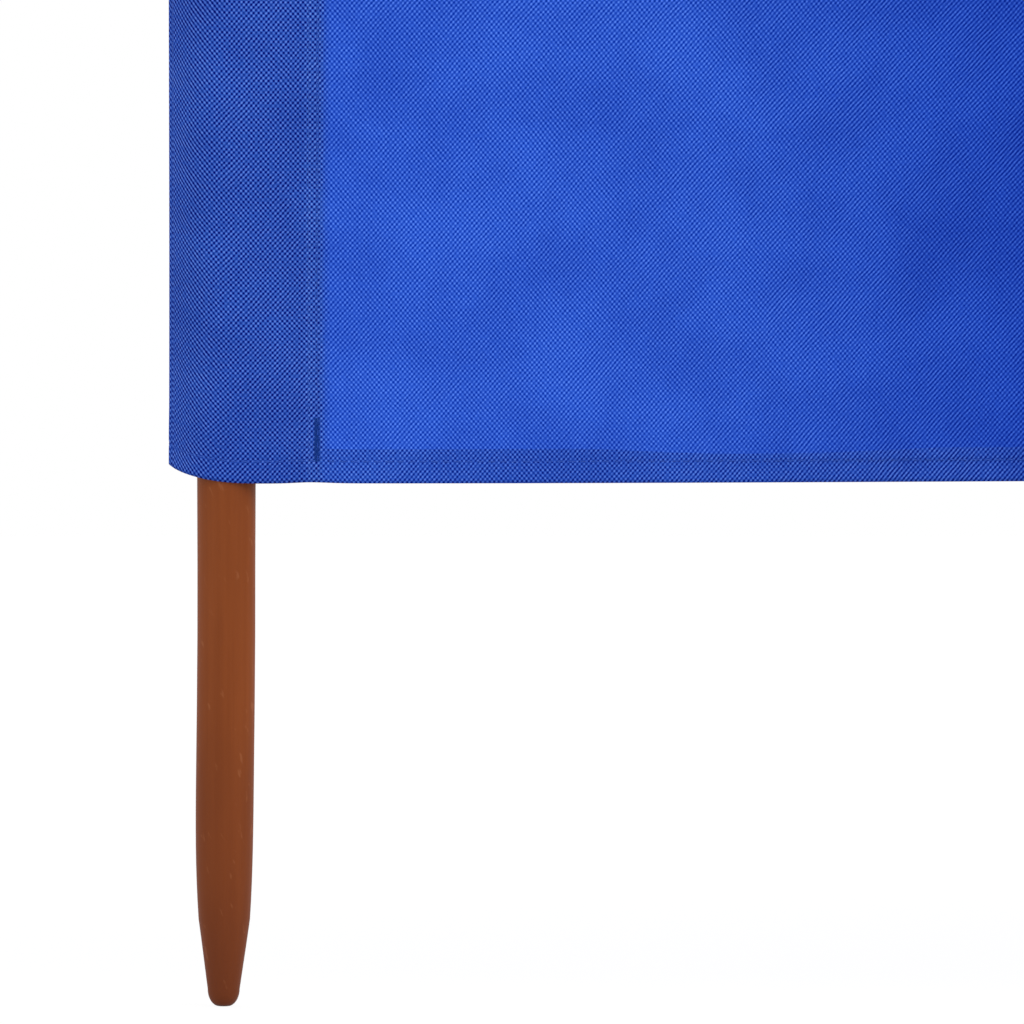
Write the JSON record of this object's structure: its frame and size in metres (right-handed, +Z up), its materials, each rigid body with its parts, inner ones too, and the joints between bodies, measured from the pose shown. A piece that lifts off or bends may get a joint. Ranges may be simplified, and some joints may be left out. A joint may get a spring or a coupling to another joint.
{
  "type": "beach windbreak",
  "caption": "Long strip of blue sewn cloth on pointed round wooden stakes, stuck in sand as a screen against wind.",
  "frame": {"origin": "centre of the flat tip of the middle stake", "axes": "+X runs along the windbreak from the left-hand end to the right-hand end, +Z is up along the stakes, -Y is the face that the cloth bellies out to, with the folds and hems turned to +Y"},
  "size_m": [5, 0.0946, 1.5],
  "materials": {
    "stained_wood": "round softwood, stained reddish brown and satin varnished, fine grain along the stake",
    "cloth_single": "one layer of blue non-woven cloth with a fine lattice of pressed dots",
    "cloth_double": "two or more layers of the same cloth, darker, with its pressed dots plain to see",
    "thread": "dark blue polyester sewing thread"
  },
  "bodies": {
    "root": {"stake_1": "stained_wood", "stake_2": "stained_wood", "stake_3": "stained_wood", "stake_4": "stained_wood", "stake_5": "stained_wood", "left_end_sleeve": "cloth_double", "right_end_sleeve": "cloth_double", "sleeve_2_front": "cloth_double", "sleeve_2_back": "cloth_double", "sleeve_3_front": "cloth_double", "sleeve_3_back": "cloth_double", "sleeve_4_front": "cloth_double", "sleeve_4_back": "cloth_double", "bay_1_cloth": "cloth_single", "bay_1_bottom_hem": "cloth_double", "bay_1_top_hem": "cloth_double", "bay_2_cloth": "cloth_single", "bay_2_bottom_hem": "cloth_double", "bay_2_top_hem": "cloth_double", "bay_3_cloth": "cloth_single", "bay_3_bottom_hem": "cloth_double", "bay_3_top_hem": "cloth_double", "bay_4_cloth": "cloth_single", "bay_4_bottom_hem": "cloth_double", "bay_4_top_hem": "cloth_double"}
  },
  "joints": []
}
